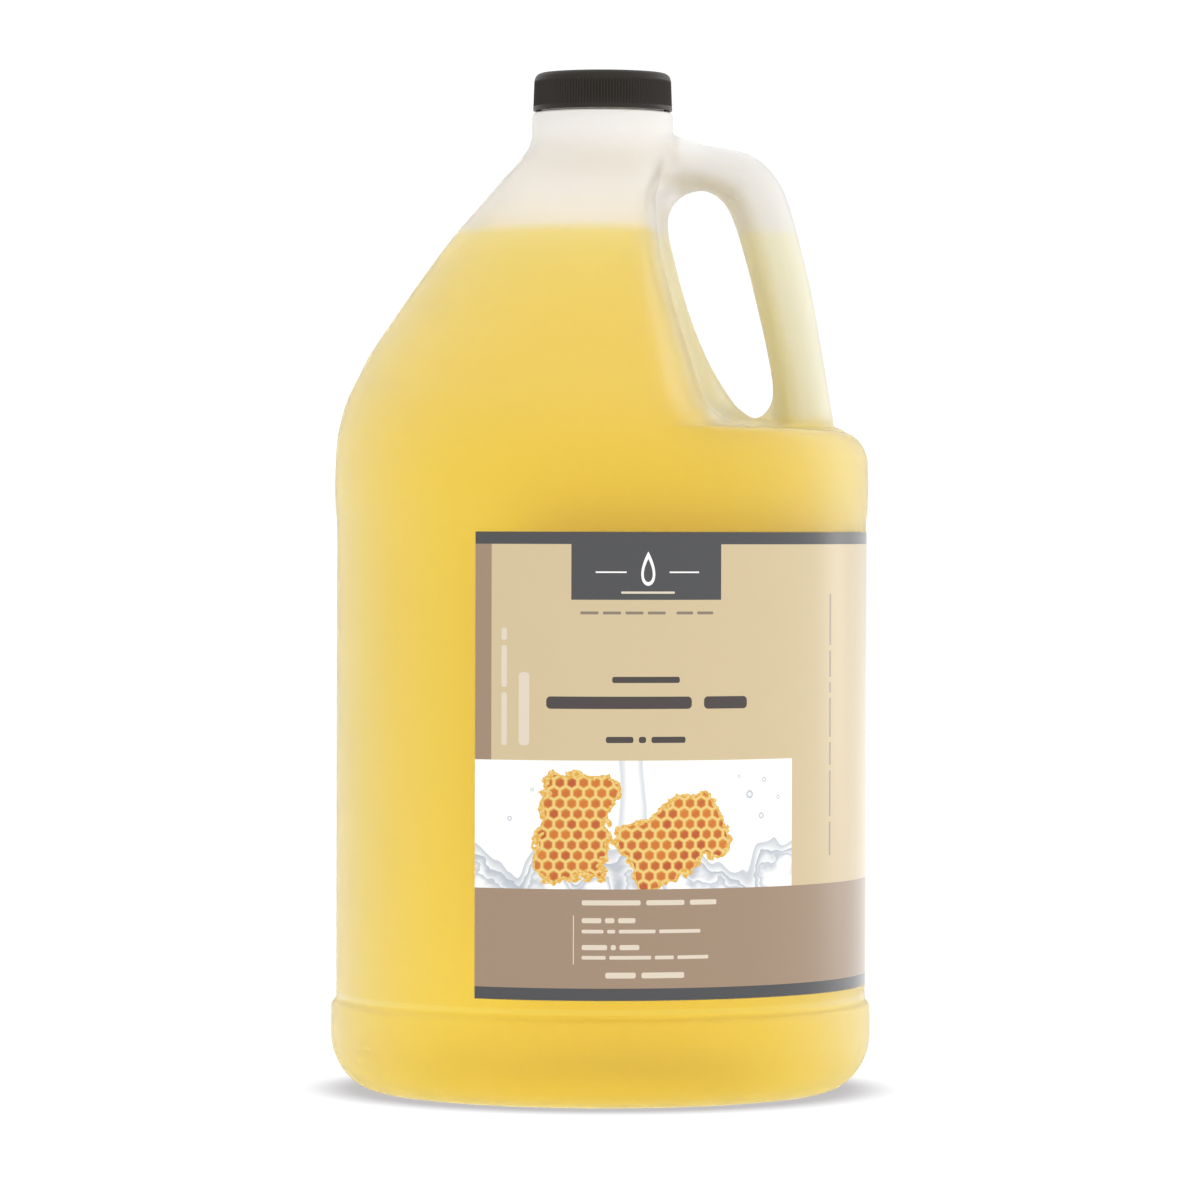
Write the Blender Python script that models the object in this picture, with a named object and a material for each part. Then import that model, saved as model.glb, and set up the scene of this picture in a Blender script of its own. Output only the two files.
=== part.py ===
"""One-gallon round jug of massage oil with a moulded handle and a ribbed 38 mm screw cap.

Frame: origin at the centre of the base, +Z up the bottle's axis, the handle towards +X and the
front of the label towards -Y. The jug is one hollow moulding: a round body, a deep pocket on the
handle side, a hollow handle, a flat web around the finger hole and a threaded neck. The cap's
shell turns on the neck's thread, with a foam liner under its top. The oil stands inside the body
and the handle up to the fill line.
"""
import math

import bmesh
import bpy
import numpy as np
from mathutils import Vector

MM = 0.001

# Jug: walls and segments
SEGMENTS = 48
WALL = 1.0 * MM
GAP = 0.3 * MM

# Jug: base and heel
PUSH_UP_RADIUS = 44.0 * MM
PUSH_UP_HEIGHT = 6.0 * MM
FOOT_INNER_RADIUS = 54.0 * MM
FOOT_RADIUS = 63.0 * MM
HEEL_WIDTH = 14.2 * MM
HEEL_HEIGHT = 17.0 * MM
HEEL_STEPS = 5

# Jug: silhouette opposite the handle above the heel, as (height, radius) in millimetres
OUTLINE_MM = [
    (22.0, 77.2), (24.4, 77.0), (26.4, 75.7), (95.0, 75.7), (161.5, 75.7), (166.0, 76.1),
    (172.0, 76.3), (180.0, 76.1), (186.0, 75.6), (191.5, 74.5), (197.4, 72.7), (203.0, 69.9),
    (209.0, 66.9), (220.0, 59.7), (231.5, 51.7), (243.0, 43.2), (254.5, 33.4), (260.5, 28.3),
    (266.0, 23.4), (270.0, 20.9), (273.0, 20.2), (278.3, 20.2),
]

# Jug: the same silhouette on the handle side, where the pocket and its floor cut into the body
POCKET_MM = [
    (176.0, 76.3), (180.0, 76.1), (183.0, 75.2), (186.0, 73.2), (187.8, 70.4), (188.5, 66.5),
    (188.9, 58.0), (189.4, 46.0), (191.5, 36.0), (197.4, 29.6), (209.0, 25.7), (226.0, 20.3),
    (243.0, 16.4), (254.5, 15.6), (260.5, 17.4), (266.0, 19.6), (270.0, 20.3),
]
POCKET_SHARPNESS = 4.0

# Jug: neck finish, a 38 mm neck of six threads to the inch
NECK_SHOULDER_Z = 279.4 * MM
NECK_SHOULDER_RADIUS = 19.3 * MM
NECK_TOP_Z = 288.3 * MM
THREAD_ROOT_RADIUS = 17.5 * MM
BORE_RADIUS = 15.6 * MM
BORE_FOOT_Z = 279.0 * MM
BORE_FLARE_Z = 275.5 * MM
LIP_CHAMFER = 0.4 * MM
THREAD_PITCH = 25.4 * MM / 6.0
THREAD_TURNS = 1.25
THREAD_START_Z = 281.2 * MM
THREAD_HEIGHT = 1.2 * MM
THREAD_FOOT = 2.4 * MM
THREAD_CREST = 1.0 * MM
THREAD_SEAT = 0.4 * MM
THREAD_STEP = math.radians(9.0)
THREAD_RUNOUT = math.radians(36.0)

# Handle: stations along its centre line, as (x, z, half depth, half width) in millimetres
HANDLE_MM = [
    (6.0, 266.6, 7.0, 10.5), (20.5, 265.5, 7.0, 11.0), (29.0, 264.0, 6.0, 11.5),
    (38.9, 261.3, 7.0, 12.0), (44.5, 255.0, 7.5, 12.5), (48.2, 244.0, 7.5, 12.7),
    (52.5, 226.0, 7.6, 12.8), (55.9, 208.8, 7.3, 13.0), (57.6, 197.4, 7.5, 13.4),
    (58.6, 188.5, 7.9, 14.2), (59.0, 179.0, 8.0, 14.5),
]
HANDLE_SECTIONS = 19
HANDLE_POINTS = 16
HANDLE_SQUARENESS = 2.4

# Finger hole: its rim, as (x, z) in millimetres, and the flat web that the rim is cut from
HOLE_MM = [
    (28.2, 257.3), (22.5, 255.3), (19.3, 251.0), (18.8, 246.0), (20.4, 238.0), (24.4, 223.5),
    (30.2, 208.8), (37.1, 197.4), (40.4, 194.0), (43.9, 192.2), (47.2, 194.2), (49.0, 198.8),
    (48.0, 208.0), (44.0, 226.0), (40.2, 240.5), (36.9, 250.3), (33.2, 255.4),
]
HOLE_POINTS = 30
WEB_MM = [
    (10.0, 263.0), (30.0, 263.0), (43.0, 253.0), (51.0, 226.0), (56.0, 200.0), (57.0, 185.0),
    (30.0, 185.0), (22.0, 200.0), (14.0, 226.0), (10.0, 245.0),
]
WEB_THICKNESS = 2.4 * MM

# Oil
FILL_Z = 246.5 * MM

# Label: a wrap on the flat panel; angles run from the front, positive towards the handle
LABEL_BOTTOM_Z = 30.7 * MM
LABEL_TOP_Z = 159.7 * MM
LABEL_THICKNESS = 0.25 * MM
LABEL_START = math.radians(-27.3)
LABEL_END = math.radians(198.7)
PANEL_RADIUS = 75.7 * MM

# Cap
CAP_BOTTOM_Z = 279.9 * MM
CAP_TOP_Z = 290.7 * MM
CAP_RADIUS = 19.9 * MM
CAP_TOP_RADIUS = 19.5 * MM
CAP_CORNER = 2.2 * MM
CAP_CORNER_STEPS = 3
CAP_TOP_WALL = 1.0 * MM
CAP_INNER_RADIUS = 19.05 * MM
CAP_THREAD_HEIGHT = 1.2 * MM
CAP_THREAD_FOOT = 1.6 * MM
CAP_THREAD_CREST = 0.7 * MM
CAP_THREAD_SEAT = 0.35 * MM
CAP_THREAD_TURNS = 1.0
CAP_THREAD_DROP = 1.75 * MM
CAP_THREAD_START = math.radians(132.0)
LINER_THICKNESS = 0.8 * MM
LINER_RADIUS = 18.6 * MM


def clear_scene():
    """Remove every object that the new file holds."""
    for obj in list(bpy.data.objects):
        bpy.data.objects.remove(obj, do_unlink=True)


def plastic(name, color, roughness, transmission=0.0):
    """Return a Principled material."""
    material = bpy.data.materials.new(name)
    material.use_nodes = True
    shader = material.node_tree.nodes["Principled BSDF"]
    shader.inputs["Base Color"].default_value = (*color, 1.0)
    shader.inputs["Roughness"].default_value = roughness
    shader.inputs["Metallic"].default_value = 0.0
    shader.inputs["Transmission Weight"].default_value = transmission
    material.diffuse_color = (*color, 1.0)
    return material


def add_object(name, points, faces, material=None):
    """Add a mesh object with its faces turned outwards."""
    mesh = bpy.data.meshes.new(name)
    mesh.from_pydata([tuple(point) for point in points], [], faces)
    edit = bmesh.new()
    edit.from_mesh(mesh)
    bmesh.ops.recalc_face_normals(edit, faces=edit.faces)
    edit.to_mesh(mesh)
    edit.free()
    obj = bpy.data.objects.new(name, mesh)
    bpy.context.scene.collection.objects.link(obj)
    if material:
        mesh.materials.append(material)
    return obj


def combine(obj, other, operation):
    """Apply an exact Boolean of another object to obj and remove the other object."""
    modifier = obj.modifiers.new(operation, "BOOLEAN")
    modifier.operation = operation
    modifier.solver = "EXACT"
    modifier.object = other
    evaluated = obj.evaluated_get(bpy.context.evaluated_depsgraph_get())
    mesh = bpy.data.meshes.new_from_object(evaluated)
    obj.modifiers.clear()
    old_mesh = obj.data
    obj.data = mesh
    bpy.data.meshes.remove(old_mesh)
    bpy.data.objects.remove(other, do_unlink=True)


def finish(obj, crease=math.radians(30.0)):
    """Shade a finished piece smooth, with sharp edges kept where its faces turn."""
    obj.data.shade_smooth()
    obj.data.set_sharp_from_angle(angle=crease)


def smooth_line(knots, at):
    """Read a smooth curve without overshoot through (key, value...) knots at the given keys."""
    table = np.array(knots, dtype=float)
    keys = table[:, 0]
    values = table[:, 1:]
    slopes = np.diff(values, axis=0) / np.diff(keys)[:, None]
    tangents = np.zeros_like(values)
    before, after = slopes[:-1], slopes[1:]
    same_way = before * after > 0
    tangents[1:-1][same_way] = 2.0 * (before * after)[same_way] / (before + after)[same_way]
    tangents[0], tangents[-1] = slopes[0], slopes[-1]
    at = np.atleast_1d(np.asarray(at, dtype=float))
    cell = np.clip(np.searchsorted(keys, at, side="right") - 1, 0, len(keys) - 2)
    span = keys[cell + 1] - keys[cell]
    t = np.clip((at - keys[cell]) / span, 0.0, 1.0)[:, None]
    span = span[:, None]
    return ((2 * t**3 - 3 * t**2 + 1) * values[cell] + (t**3 - 2 * t**2 + t) * span * tangents[cell]
            + (3 * t**2 - 2 * t**3) * values[cell + 1] + (t**3 - t**2) * span * tangents[cell + 1])


def closed_curve(points, count):
    """Sample a smooth closed curve through the points."""
    knots = np.array(points, dtype=float)
    samples = []
    for step in range(count):
        place = step * len(knots) / count
        index = int(place)
        t = place - index
        a, b, c, d = (knots[(index + shift) % len(knots)] for shift in (-1, 0, 1, 2))
        samples.append(0.5 * (2 * b + (c - a) * t + (2 * a - 5 * b + 4 * c - d) * t**2
                              + (3 * b - a - 3 * c + d) * t**3))
    return np.array(samples)


def loft(name, rings, material=None):
    """Join rings of equal count from bottom to top, each end closed by a fan about its centre."""
    count = len(rings[0])
    points = [point for ring in rings for point in ring]
    faces = []
    for level in range(len(rings) - 1):
        for side in range(count):
            low = level * count + side
            low_next = level * count + (side + 1) % count
            faces.append((low, low_next, low_next + count))
            faces.append((low, low_next + count, low + count))
    faces.append(tuple(reversed(range(count))))
    faces.append(tuple(range(len(points) - count, len(points))))
    return add_object(name, points, faces, material)


def circle(radius, height, count=SEGMENTS):
    """Return the points of a level circle about the bottle's axis."""
    angles = np.arange(count) * 2.0 * math.pi / count
    return np.column_stack((radius * np.cos(angles), radius * np.sin(angles), np.full(count, height)))


def body_section(height):
    """Return the body's section at a height: a circle, flattened on the handle side."""
    height_mm = height / MM
    radius = smooth_line(OUTLINE_MM, height_mm)[0, 0] * MM
    depth = radius
    if POCKET_MM[0][0] < height_mm < POCKET_MM[-1][0]:
        depth = min(radius, smooth_line(POCKET_MM, height_mm)[0, 0] * MM)
    angles = np.arange(SEGMENTS) * 2.0 * math.pi / SEGMENTS
    facing = np.maximum(np.cos(angles), 0.0) ** POCKET_SHARPNESS
    power = -POCKET_SHARPNESS
    reach = (radius**power + (depth**power - radius**power) * facing) ** (1.0 / power)
    return np.column_stack((reach * np.cos(angles), reach * np.sin(angles), np.full(SEGMENTS, height)))


def body_rings():
    """Return the rings of the body from the base's push-up to the shoulder of the neck."""
    rings = [circle(PUSH_UP_RADIUS, PUSH_UP_HEIGHT), circle(FOOT_INNER_RADIUS, 0.0), circle(FOOT_RADIUS, 0.0)]
    for step in range(1, HEEL_STEPS + 1):
        turn = 0.5 * math.pi * step / HEEL_STEPS
        radius = FOOT_RADIUS + HEEL_WIDTH * math.sin(turn)
        rings.append(circle(radius, HEEL_HEIGHT * (1.0 - math.cos(turn))))
    levels = {height for height, _ in OUTLINE_MM} | {height for height, _ in POCKET_MM}
    crowded = {172.0, 203.0, 220.0, 231.5, 260.5}
    for height in sorted(levels - crowded):
        rings.append(body_section(height * MM))
    return rings


def inset_rings(rings, inset):
    """Move every ring point inwards by the inset, square to the lofted surface."""
    grid = np.array(rings)
    along = np.gradient(grid, axis=0)
    around = np.roll(grid, -1, axis=1) - np.roll(grid, 1, axis=1)
    normals = np.cross(around, along)
    normals /= np.linalg.norm(normals, axis=2, keepdims=True)
    return list(grid - inset * normals)


def handle_frames(inset):
    """Return the handle's rings, each square to its centre line."""
    stations = [(index, *station) for index, station in enumerate(HANDLE_MM)]
    places = np.linspace(0, len(HANDLE_MM) - 1, HANDLE_SECTIONS)
    route = smooth_line(stations, places) * MM
    tangents = np.gradient(route[:, :2], axis=0)
    tangents /= np.linalg.norm(tangents, axis=1, keepdims=True)
    angles = (np.arange(HANDLE_POINTS) + 0.5) * 2.0 * math.pi / HANDLE_POINTS
    power = 2.0 / HANDLE_SQUARENESS
    across = np.sign(np.cos(angles)) * np.abs(np.cos(angles)) ** power
    sideways = np.sign(np.sin(angles)) * np.abs(np.sin(angles)) ** power
    rings = []
    for (x, z, depth, width), (run_x, run_z) in zip(route, tangents):
        reach = across * (depth - inset)
        rings.append(np.column_stack((x - run_z * reach, sideways * (width - inset), z + run_x * reach)))
    return rings


def prism(name, outline, half_width):
    """Extrude an outline in the XZ plane to both sides along Y."""
    rings = [[(x, side * half_width, z) for x, z in outline] for side in (-1.0, 1.0)]
    return loft(name, rings)


def thread_ridge(name, wall_radius, height, foot, crest, seat, start_angle, turns, start_z):
    """Build a helical ridge on a wall; a negative height points it towards the axis.

    The ridge is seated in the wall, runs up counter-clockwise and fades out at both ends.
    """
    length = turns * 2.0 * math.pi
    steps = round(length / THREAD_STEP)
    inward = -1.0 if height < 0.0 else 1.0
    rings = []
    for step in range(steps + 1):
        turn = length * step / steps
        fade = min(1.0, min(turn, length - turn) / THREAD_RUNOUT)
        reach = wall_radius + height * (0.1 + 0.9 * fade)
        root = wall_radius - inward * seat
        middle = start_z + THREAD_PITCH * turn / (2.0 * math.pi)
        corners = [(root, -foot / 2), (reach, -crest / 2), (reach, crest / 2), (root, foot / 2)]
        angle = start_angle + turn
        rings.append([(radius * math.cos(angle), radius * math.sin(angle), middle + lift)
                      for radius, lift in corners])
    return loft(name, rings)


def build_cavity(name, inset, with_bore):
    """Build the space inside the jug's body and handle, closer to its middle by the inset."""
    rings = inset_rings(body_rings(), inset)
    rings = [ring for ring in rings if ring[0][2] < BORE_FLARE_Z]
    if with_bore:
        rings.append(circle(BORE_RADIUS, BORE_FOOT_Z))
        rings.append(circle(BORE_RADIUS, NECK_TOP_Z + 2.0 * MM))
    cavity = loft(name, rings)
    handle = loft(name + "_handle", handle_frames(inset))
    combine(cavity, handle, "UNION")
    return cavity


def build_jug():
    """Build the jug: body, handle, web and threaded neck in one piece, then hollow it."""
    rings = body_rings()
    rings.append(circle(NECK_SHOULDER_RADIUS, NECK_SHOULDER_Z))
    rings.append(circle(THREAD_ROOT_RADIUS, NECK_SHOULDER_Z))
    rings.append(circle(THREAD_ROOT_RADIUS, NECK_TOP_Z - LIP_CHAMFER))
    rings.append(circle(THREAD_ROOT_RADIUS - LIP_CHAMFER, NECK_TOP_Z))
    jug = loft("jug", rings, plastic("natural_hdpe", (0.90, 0.87, 0.79), 0.35, 0.4))
    combine(jug, loft("handle", handle_frames(0.0)), "UNION")
    web_outline = [(x * MM, z * MM) for x, z in WEB_MM]
    combine(jug, prism("web", web_outline, WEB_THICKNESS / 2), "UNION")
    hole_outline = closed_curve(HOLE_MM, HOLE_POINTS) * MM
    combine(jug, prism("finger_hole", hole_outline, 3.0 * WEB_THICKNESS), "DIFFERENCE")
    ridge = thread_ridge("neck_thread", THREAD_ROOT_RADIUS, THREAD_HEIGHT, THREAD_FOOT, THREAD_CREST,
                         THREAD_SEAT, 0.0, THREAD_TURNS, THREAD_START_Z)
    combine(jug, ridge, "UNION")
    combine(jug, build_cavity("cavity", WALL, True), "DIFFERENCE")
    finish(jug)
    return jug


def build_oil():
    """Build the oil: the cavity, a little smaller, cut level at the fill line."""
    oil = build_cavity("oil_fill", WALL + GAP, False)
    oil.data.materials.clear()
    oil.data.materials.append(plastic("massage_oil", (0.86, 0.60, 0.11), 0.1, 0.6))
    side = PANEL_RADIUS * 1.5
    above = prism("above_fill", [(-side, FILL_Z), (side, FILL_Z), (side, CAP_TOP_Z), (-side, CAP_TOP_Z)], side)
    combine(oil, above, "DIFFERENCE")
    finish(oil)
    return oil


def build_label():
    """Build the label as a thin sleeve part of the way round the flat panel."""
    step = 2.0 * math.pi / SEGMENTS
    start = LABEL_START - 0.5 * math.pi
    end = LABEL_END - 0.5 * math.pi
    angles = [start]
    angles += [step * k for k in range(math.ceil(start / step + 0.2), math.floor(end / step - 0.2) + 1)]
    angles.append(end)
    inner = PANEL_RADIUS + GAP
    outer = inner + LABEL_THICKNESS
    corners = [(inner, LABEL_BOTTOM_Z), (outer, LABEL_BOTTOM_Z), (outer, LABEL_TOP_Z), (inner, LABEL_TOP_Z)]
    rings = [[(radius * math.cos(angle), radius * math.sin(angle), height) for radius, height in corners]
             for angle in angles]
    label = loft("label", rings, plastic("label_film", (0.72, 0.58, 0.40), 0.35))
    finish(label)
    return label


def build_cap_shell():
    """Build the cap: a cup upside down with a rounded top corner and a thread inside its skirt."""
    rings = [circle(CAP_RADIUS, CAP_BOTTOM_Z)]
    for step in range(CAP_CORNER_STEPS + 1):
        turn = 0.5 * math.pi * step / CAP_CORNER_STEPS
        radius = CAP_TOP_RADIUS - CAP_CORNER * (1.0 - math.cos(turn))
        rings.append(circle(radius, CAP_TOP_Z - CAP_CORNER * (1.0 - math.sin(turn))))
    shell = loft("cap_shell", rings, plastic("cap_black", (0.03, 0.027, 0.025), 0.42))
    inner_top = CAP_TOP_Z - CAP_TOP_WALL
    hollow_rings = [circle(CAP_INNER_RADIUS, CAP_BOTTOM_Z - 2.0 * MM), circle(CAP_INNER_RADIUS, inner_top)]
    combine(shell, loft("cap_hollow", hollow_rings), "DIFFERENCE")
    ridge_z = THREAD_START_Z - CAP_THREAD_DROP + THREAD_PITCH * CAP_THREAD_START / (2.0 * math.pi)
    ridge = thread_ridge("cap_thread", CAP_INNER_RADIUS, -CAP_THREAD_HEIGHT, CAP_THREAD_FOOT, CAP_THREAD_CREST,
                         CAP_THREAD_SEAT, CAP_THREAD_START, CAP_THREAD_TURNS, ridge_z)
    combine(shell, ridge, "UNION")
    finish(shell)
    return shell


def build_cap_liner():
    """Build the foam liner, a disc between the neck's lip and the cap's top."""
    top = CAP_TOP_Z - CAP_TOP_WALL - GAP
    rings = [circle(LINER_RADIUS, top - LINER_THICKNESS), circle(LINER_RADIUS, top)]
    liner = loft("cap_liner", rings, plastic("foam_white", (0.85, 0.84, 0.80), 0.8))
    finish(liner)
    return liner


def main():
    """Build every piece of the bottle."""
    clear_scene()
    build_jug()
    build_oil()
    build_label()
    build_cap_shell()
    build_cap_liner()


main()
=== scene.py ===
"""Looks of a one-gallon jug of massage oil: a milky jug, yellow oil, a printed wrap label, a ribbed cap."""
import math

import bmesh
import bpy
import numpy as np
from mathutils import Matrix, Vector


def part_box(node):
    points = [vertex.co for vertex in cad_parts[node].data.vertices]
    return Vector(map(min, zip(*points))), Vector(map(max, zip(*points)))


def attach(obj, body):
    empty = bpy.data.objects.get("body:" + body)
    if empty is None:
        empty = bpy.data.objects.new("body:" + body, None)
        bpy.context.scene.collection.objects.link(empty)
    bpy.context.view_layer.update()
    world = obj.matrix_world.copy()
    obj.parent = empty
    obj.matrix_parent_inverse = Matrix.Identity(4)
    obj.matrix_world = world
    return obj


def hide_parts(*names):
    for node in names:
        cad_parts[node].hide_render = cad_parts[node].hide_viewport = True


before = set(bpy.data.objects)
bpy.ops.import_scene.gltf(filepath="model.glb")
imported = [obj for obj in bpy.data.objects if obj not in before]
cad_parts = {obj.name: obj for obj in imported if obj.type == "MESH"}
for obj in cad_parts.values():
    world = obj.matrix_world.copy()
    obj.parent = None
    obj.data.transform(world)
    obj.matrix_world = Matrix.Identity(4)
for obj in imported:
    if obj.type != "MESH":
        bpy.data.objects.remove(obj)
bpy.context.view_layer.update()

# Lengths are in millimetres unless a line says otherwise
MM = 0.001
AROUND, HANDLE_CROWDING = 240, 0.45

# Jug: the silhouette opposite the handle and the pocket's on the handle's side, as (height, radius)
FOOT_INNER, FOOT_OUTER = 54.0, 63.0
PUSH_UP_RADIUS, PUSH_UP_HEIGHT = 44.0, 6.0
HEEL_WIDTH, HEEL_HEIGHT = 14.2, 17.0
OUTLINE = [
    (22.0, 77.2), (24.4, 77.0), (26.4, 75.7), (95.0, 75.7), (161.5, 75.7), (166.0, 76.1),
    (172.0, 76.3), (180.0, 76.1), (186.0, 75.6), (191.5, 74.5), (197.4, 72.7), (203.0, 69.9),
    (209.0, 66.9), (220.0, 59.7), (231.5, 51.7), (243.0, 43.2), (254.5, 33.4), (260.5, 28.3),
    (266.0, 23.4), (270.0, 20.9), (273.0, 20.2), (278.3, 20.2),
]
POCKET = [
    (176.0, 76.3), (180.0, 76.1), (183.0, 75.2), (186.0, 73.2), (187.8, 70.4), (188.5, 66.5),
    (188.9, 58.0), (189.4, 46.0), (191.5, 36.0), (197.4, 29.6), (209.0, 25.7), (226.0, 20.3),
    (243.0, 16.4), (254.5, 15.6), (260.5, 17.4), (266.0, 19.6), (270.0, 20.3),
]
POCKET_SHARPNESS, POCKET_WEDGE, WEDGE_STEEPNESS, RIDGE_ROUND = 6.0, 0.06, 3.0, 0.06
WALL = 1.0

# Handle stations as (x, z, half depth, half width), the finger hole's rim and the web, as (x, z)
HANDLE = [
    (6.0, 266.6, 7.0, 10.5), (20.5, 265.5, 7.0, 11.0), (29.0, 264.0, 6.0, 11.5),
    (38.9, 261.3, 7.0, 12.0), (44.5, 255.0, 7.5, 12.5), (48.2, 244.0, 7.5, 12.7),
    (52.5, 226.0, 7.6, 12.8), (55.9, 208.8, 7.3, 13.0), (57.6, 197.4, 7.5, 13.4),
    (58.6, 188.5, 7.9, 14.2), (59.0, 179.0, 8.0, 14.5),
]
HANDLE_SQUARENESS, HANDLE_STEPS = 2.4, 37
HOLE = [
    (28.2, 257.3), (22.5, 255.3), (19.3, 251.0), (18.8, 246.0), (20.4, 238.0), (24.4, 223.5),
    (30.2, 208.8), (37.1, 197.4), (40.4, 194.0), (43.9, 192.2), (47.2, 194.2), (49.0, 198.8),
    (48.0, 208.0), (44.0, 226.0), (40.2, 240.5), (36.9, 250.3), (33.2, 255.4),
]
WEB = [
    (10.0, 263.0), (30.0, 263.0), (43.0, 253.0), (51.0, 226.0), (56.0, 200.0), (57.0, 185.0),
    (30.0, 185.0), (22.0, 200.0), (14.0, 226.0), (10.0, 245.0),
]
RIM_STEPS = 60
WEB_HALF = 1.2
HANDLE_BLEND, WEB_BLEND, RIM_BLEND = 4.5, 9.0, 1.6
HANDLE_ZONE_Z, HANDLE_ZONE_HALF = 170.0, 24.0

# Neck finish, above the height where the net of the body ends; the handle's fillet fades out below it
NET_TOP = 275.6
FILLET_TOP, FILLET_FADE = NET_TOP - 1.0, 3.0
NECK_R, ROOT_R, BORE_R, LIP_Z = 20.2, 17.5, 15.6, 288.3
PITCH = 25.4 / 6.0
THREAD_START_Z, THREAD_TURNS, THREAD_HEIGHT, THREAD_FOOT, THREAD_CREST = 281.2, 1.25, 1.2, 2.4, 1.0
THREAD_FADE = math.radians(36.0)

FILL_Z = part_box("oil_fill")[1][2] / MM


def ease(share):
    """Turn an even rise from 0 to 1 into one that starts and ends softly."""
    return share * share * (3.0 - 2.0 * share)


def smooth_line(knots, at):
    """Read a smooth curve without overshoot through (key, value...) knots at the given keys."""
    table = np.array(knots, dtype=float)
    keys, values = table[:, 0], table[:, 1:]
    slopes = np.diff(values, axis=0) / np.diff(keys)[:, None]
    tangents = np.zeros_like(values)
    before, after = slopes[:-1], slopes[1:]
    same_way = before * after > 0
    tangents[1:-1][same_way] = 2.0 * (before * after)[same_way] / (before + after)[same_way]
    tangents[0], tangents[-1] = slopes[0], slopes[-1]
    at = np.atleast_1d(np.asarray(at, dtype=float))
    cell = np.clip(np.searchsorted(keys, at, side="right") - 1, 0, len(keys) - 2)
    span = (keys[cell + 1] - keys[cell])[:, None]
    t = np.clip((at - keys[cell])[:, None] / span, 0.0, 1.0)
    return ((2 * t**3 - 3 * t**2 + 1) * values[cell] + (t**3 - 2 * t**2 + t) * span * tangents[cell]
            + (3 * t**2 - 2 * t**3) * values[cell + 1] + (t**3 - t**2) * span * tangents[cell + 1])


def closed_curve(points, count):
    """Sample a smooth closed curve through the points."""
    knots = np.array(points, dtype=float)
    place = np.arange(count) * len(knots) / count
    index = place.astype(int)
    t = (place - index)[:, None]
    a, b, c, d = (knots[(index + shift) % len(knots)] for shift in (-1, 0, 1, 2))
    return 0.5 * (2 * b + (c - a) * t + (2 * a - 5 * b + 4 * c - d) * t**2 + (3 * b - a - 3 * c + d) * t**3)


# The two silhouettes by height: the heel is a quarter of an ellipse, and the rest follows the lists above
TABLE_Z = np.arange(0.0, 300.0, 0.1)
HEEL_DROP = (HEEL_HEIGHT - TABLE_Z) / HEEL_HEIGHT
HEEL = FOOT_OUTER + HEEL_WIDTH * np.sqrt(np.clip(1.0 - HEEL_DROP**2, 0.0, 1.0))
TABLE_R = np.where(TABLE_Z < HEEL_HEIGHT, HEEL, smooth_line(OUTLINE, TABLE_Z)[:, 0])
POCKET_ZONE = (TABLE_Z > POCKET[0][0]) & (TABLE_Z < POCKET[-1][0])
POCKET_DEPTH = np.minimum(smooth_line(POCKET, TABLE_Z)[:, 0], TABLE_R)
TABLE_DEPTH = np.where(POCKET_ZONE, POCKET_DEPTH, TABLE_R)


def smooth_min(a, b, size):
    """Join two fields with a fillet."""
    mix = np.maximum(size - np.abs(a - b), 0.0) / size
    return np.minimum(a, b) - mix * mix * size * 0.25


def body_reach(cosine, z):
    """Return the body's radius in a direction at a height: round, but a blunt wedge under the handle."""
    radius = np.interp(z, TABLE_Z, TABLE_R)
    depth = np.interp(z, TABLE_Z, TABLE_DEPTH)
    power = -POCKET_SHARPNESS
    across = np.sqrt(np.maximum(1.0 - cosine * cosine, 0.0) + RIDGE_ROUND * RIDGE_ROUND) - RIDGE_ROUND
    wedge = POCKET_WEDGE * across * ease(np.clip(cosine * WEDGE_STEEPNESS, 0.0, 1.0))
    facing = (np.maximum(cosine, 0.0) + wedge) ** POCKET_SHARPNESS
    return (radius**power + (depth**power - radius**power) * facing) ** (1.0 / power)


def body_field(x, y, z, inset):
    """Return the distance outside the body's surface, moved inwards by the inset."""
    radius = np.maximum(np.hypot(x, y), 1e-6)
    cosine = x / radius
    step = 0.35
    slope = (body_reach(cosine, z + step) - body_reach(cosine, z - step)) / (2.0 * step)
    side = (radius - body_reach(cosine, z)) / np.sqrt(1.0 + slope * slope)
    rise = ease(np.clip((FOOT_INNER - radius) / (FOOT_INNER - PUSH_UP_RADIUS), 0.0, 1.0))
    return np.maximum(side, PUSH_UP_HEIGHT * rise - z) + inset


HANDLE_PATH = smooth_line([(i, *station) for i, station in enumerate(HANDLE)],
                          np.linspace(0, len(HANDLE) - 1, HANDLE_STEPS))


def handle_field(x, y, z, inset):
    """Return the distance outside the handle's tube."""
    best = np.full(x.shape, np.inf)
    side = np.zeros(x.shape)
    depth = np.ones(x.shape)
    width = np.ones(x.shape)
    for start, end in zip(HANDLE_PATH[:-1], HANDLE_PATH[1:]):
        run = end[:2] - start[:2]
        t = np.clip(((x - start[0]) * run[0] + (z - start[1]) * run[1]) / (run @ run), 0.0, 1.0)
        dx = x - start[0] - t * run[0]
        dz = z - start[1] - t * run[1]
        distance = dx * dx + dz * dz
        nearer = distance < best
        best = np.where(nearer, distance, best)
        side = np.where(nearer, np.sqrt(distance), side)
        depth = np.where(nearer, start[2] + t * (end[2] - start[2]), depth)
        width = np.where(nearer, start[3] + t * (end[3] - start[3]), width)
    power = HANDLE_SQUARENESS
    ratio = ((side / (depth - inset)) ** power + (np.abs(y) / (width - inset)) ** power) ** (1.0 / power)
    reach = np.hypot(side, y)
    return reach - reach / np.maximum(ratio, 1e-6)


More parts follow.
